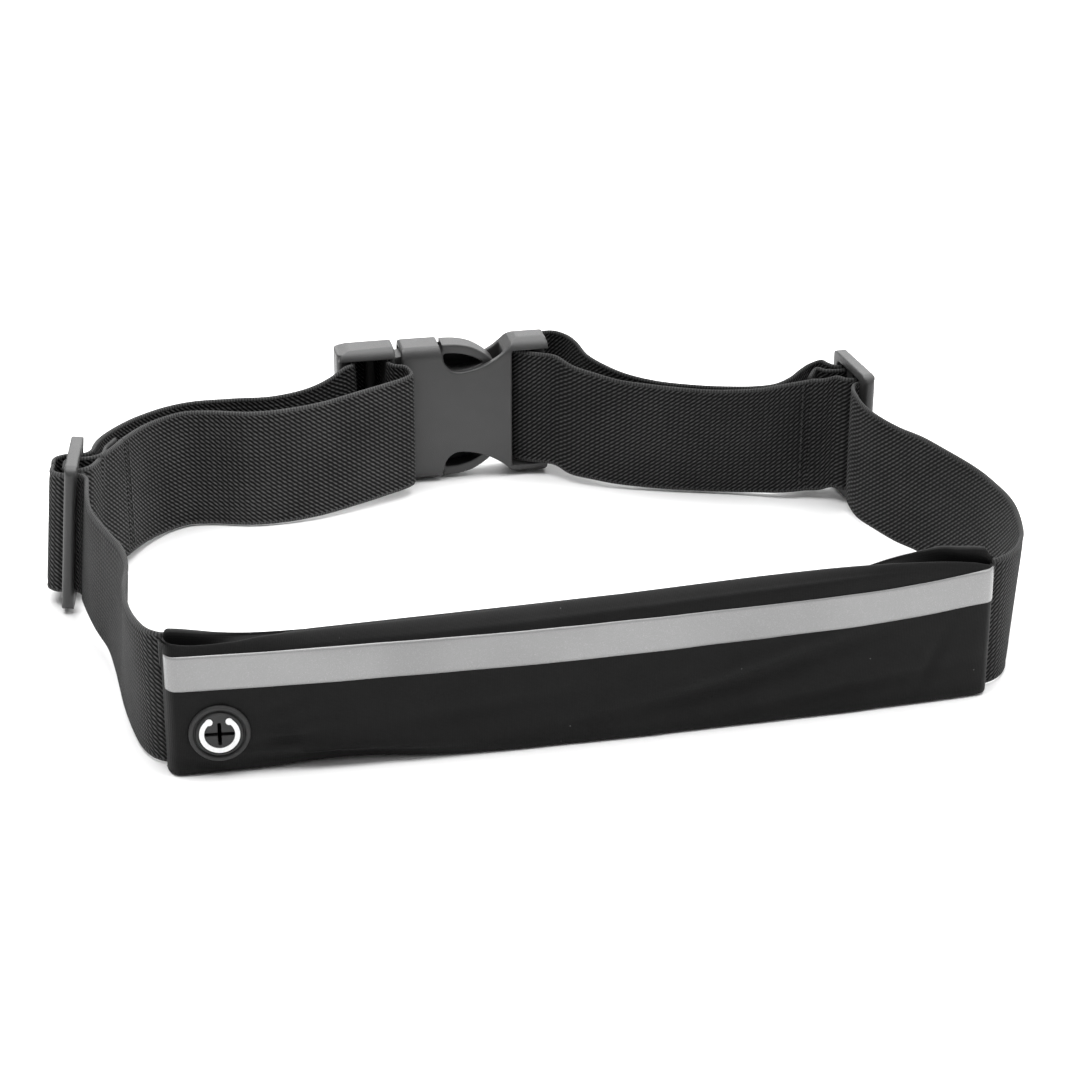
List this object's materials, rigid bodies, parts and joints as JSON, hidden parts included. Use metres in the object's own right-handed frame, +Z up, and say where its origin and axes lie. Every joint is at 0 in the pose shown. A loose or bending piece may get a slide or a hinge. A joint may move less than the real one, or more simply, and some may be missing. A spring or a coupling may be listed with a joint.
{
  "type": "waist pack",
  "caption": "Elastic running belt with a flat stretch pouch, reflective strip, cable port, back zip, two strap sliders and a side-release buckle, standing as a closed loop.",
  "frame": {"origin": "middle of the closed loop's footprint, on the surface that the lower edges stand on", "axes": "+X along the pouch from the cable port's end to the zip's closed end, +Y from the pouch towards the buckle, +Z up"},
  "size_m": [0.2724, 0.2018, 0.0469],
  "materials": {
    "stretch_fabric": "matt black stretch knit",
    "elastic_webbing": "ribbed charcoal elastic",
    "stitching_thread": "black polyester thread",
    "reflective_film": "matt silver-grey heat-bonded film",
    "port_rubber": "matt moulded rubber",
    "symbol_print": "matt white raised print",
    "zipper_tape": "black zipper tape and nylon coil",
    "zipper_metal": "black painted die-cast zinc",
    "buckle_plastic": "fine spark-eroded matt dark grey acetal"
  },
  "bodies": {
    "pouch": {"front_panel": "stretch_fabric", "back_panel": "stretch_fabric", "bottom_gusset": "stretch_fabric", "left_end_seam": "stretch_fabric", "right_end_seam": "stretch_fabric", "reflective_strip": "reflective_film", "grommet_body": "port_rubber", "grommet_backing": "port_rubber", "grommet_symbol": "symbol_print", "zipper_tape_upper": "zipper_tape", "zipper_tape_lower": "zipper_tape", "zipper_coil_upper": "zipper_tape", "zipper_coil_lower": "zipper_tape", "zipper_stop_closed": "zipper_metal", "zipper_stop_open": "zipper_metal", "left_strap_pouch_run": "elastic_webbing", "left_strap_outer": "elastic_webbing", "left_strap_inner": "elastic_webbing", "left_strap_sewn_loop": "elastic_webbing", "left_strap_stitching": "stitching_thread", "right_strap_pouch_run": "elastic_webbing", "right_strap_outer": "elastic_webbing", "right_strap_inner": "elastic_webbing", "right_strap_sewn_loop": "elastic_webbing", "right_strap_stitching": "stitching_thread", "buckle_female": "buckle_plastic"},
    "zip_slider": {"zipper_slider": "zipper_metal"},
    "zip_pull": {"zipper_pull": "zipper_metal"},
    "male": {"buckle_male": "buckle_plastic"},
    "arm_upper": {"buckle_arm_upper": "buckle_plastic"},
    "arm_lower": {"buckle_arm_lower": "buckle_plastic"},
    "glide_left": {"left_slider": "buckle_plastic"},
    "glide_right": {"right_slider": "buckle_plastic"}
  },
  "joints": [
    {"name": "zip_slide", "type": "slide", "parent": "pouch", "child": "zip_slider", "axis": [-1, 0, 0], "range_m": [0, 0.17], "deforming": ["zipper_coil_upper", "zipper_coil_lower"]},
    {"name": "zip_pull_swing", "type": "hinge", "parent": "zip_slider", "child": "zip_pull", "pos_m": [0.09159, -0.08311, 0.027], "axis": [0, 0, -1], "range_deg": [0, 150]},
    {"name": "buckle_release", "type": "slide", "parent": "pouch", "child": "male", "axis": [-1, 0, 0], "range_m": [0, 0.034], "deforming": ["left_strap_outer", "left_strap_inner", "buckle_arm_upper", "buckle_arm_lower"]},
    {"name": "arm_upper_flex", "type": "hinge", "parent": "male", "child": "arm_upper", "pos_m": [-0.02041, 0.08824, 0.0407], "axis": [0, 1, 0], "range_deg": [0, 11], "stiffness_Nm_per_rad": 0.01, "springref_deg": -2.86},
    {"name": "arm_lower_flex", "type": "hinge", "parent": "male", "child": "arm_lower", "pos_m": [-0.02041, 0.08824, 0.0067], "axis": [0, -1, 0], "range_deg": [0, 11], "stiffness_Nm_per_rad": 0.01, "springref_deg": -2.86},
    {"name": "left_slider_adjust", "type": "slide", "parent": "pouch", "child": "glide_left", "axis": [0.1305, 0.9914, 0], "range_m": [-0.008, 0.008], "deforming": ["left_strap_pouch_run", "left_strap_sewn_loop"]},
    {"name": "right_slider_adjust", "type": "slide", "parent": "pouch", "child": "glide_right", "axis": [-0.0837, 0.9965, 0], "range_m": [-0.008, 0.008], "deforming": ["right_strap_pouch_run", "right_strap_sewn_loop", "right_strap_outer", "right_strap_inner"]}
  ]
}
